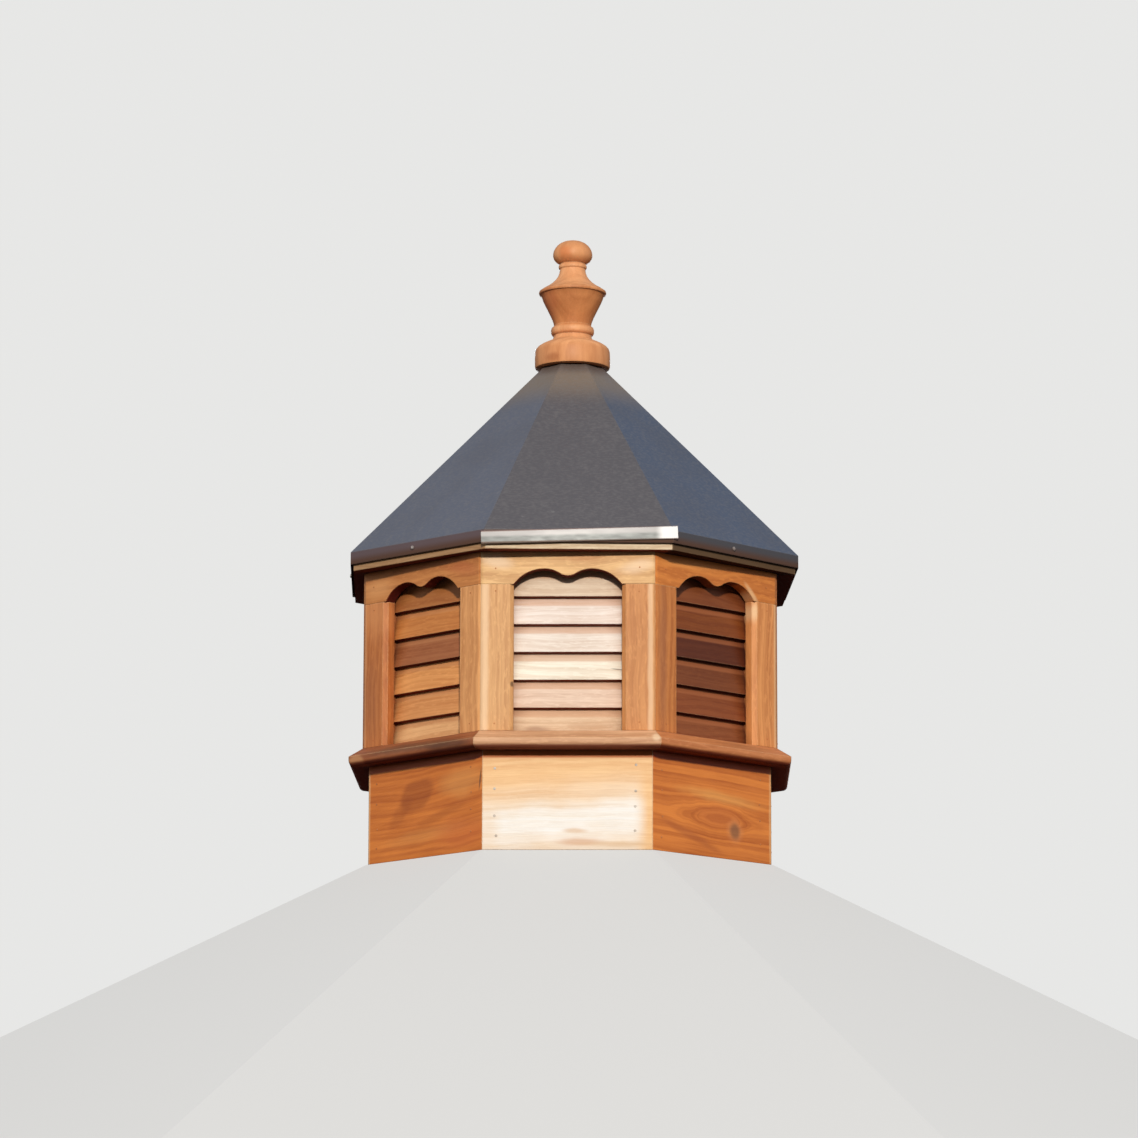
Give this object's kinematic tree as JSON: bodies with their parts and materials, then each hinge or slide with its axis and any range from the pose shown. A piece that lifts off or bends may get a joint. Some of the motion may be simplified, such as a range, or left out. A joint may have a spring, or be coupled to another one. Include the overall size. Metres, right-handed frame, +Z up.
{
  "type": "octagonal louvred roof cupola",
  "caption": "Octagonal cedar roof cupola with louvred sides under scalloped rails, a sloped sill, a plain board base, a pyramid sheet-metal roof and a turned wood finial.",
  "frame": {"origin": "on the cupola's vertical axis, in the plane of the base boards' lower rim", "axes": "+Z up; -Y is the front side; +X to the right when the front is looked at"},
  "size_m": [0.7282, 0.7282, 1.0492],
  "materials": {
    "base_cedar": "satin clear stain",
    "sill_cedar": "satin clear stain",
    "wall_cedar": "satin clear stain",
    "slat_cedar": "satin clear stain",
    "frame_wood": "bare sawn",
    "soffit_wood": "satin clear stain",
    "deck_plywood": "bare plywood",
    "roof_metal": "factory-coated sheet, soft gloss",
    "finial_wood": "semi-gloss clear stain"
  },
  "bodies": {
    "root": {"base_board_back": "base_cedar", "base_board_back_left": "base_cedar", "base_board_back_right": "base_cedar", "base_board_front": "base_cedar", "base_board_front_left": "base_cedar", "base_board_front_right": "base_cedar", "base_board_left": "base_cedar", "base_board_right": "base_cedar", "corner_posts": "frame_wood", "finial": "finial_wood", "louvre_back": "slat_cedar", "louvre_back_left": "slat_cedar", "louvre_back_right": "slat_cedar", "louvre_front": "slat_cedar", "louvre_front_left": "slat_cedar", "louvre_front_right": "slat_cedar", "louvre_left": "slat_cedar", "louvre_right": "slat_cedar", "roof_deck": "deck_plywood", "roof_metal": "roof_metal", "sill_back": "sill_cedar", "sill_back_left": "sill_cedar", "sill_back_right": "sill_cedar", "sill_front": "sill_cedar", "sill_front_left": "sill_cedar", "sill_front_right": "sill_cedar", "sill_left": "sill_cedar", "sill_right": "sill_cedar", "soffit": "soffit_wood", "stiles_back": "wall_cedar", "stiles_back_left": "wall_cedar", "stiles_back_right": "wall_cedar", "stiles_front": "wall_cedar", "stiles_front_left": "wall_cedar", "stiles_front_right": "wall_cedar", "stiles_left": "wall_cedar", "stiles_right": "wall_cedar", "top_block": "frame_wood", "top_rail_back": "wall_cedar", "top_rail_back_left": "wall_cedar", "top_rail_back_right": "wall_cedar", "top_rail_front": "wall_cedar", "top_rail_front_left": "wall_cedar", "top_rail_front_right": "wall_cedar", "top_rail_left": "wall_cedar", "top_rail_right": "wall_cedar"}
  },
  "joints": []
}
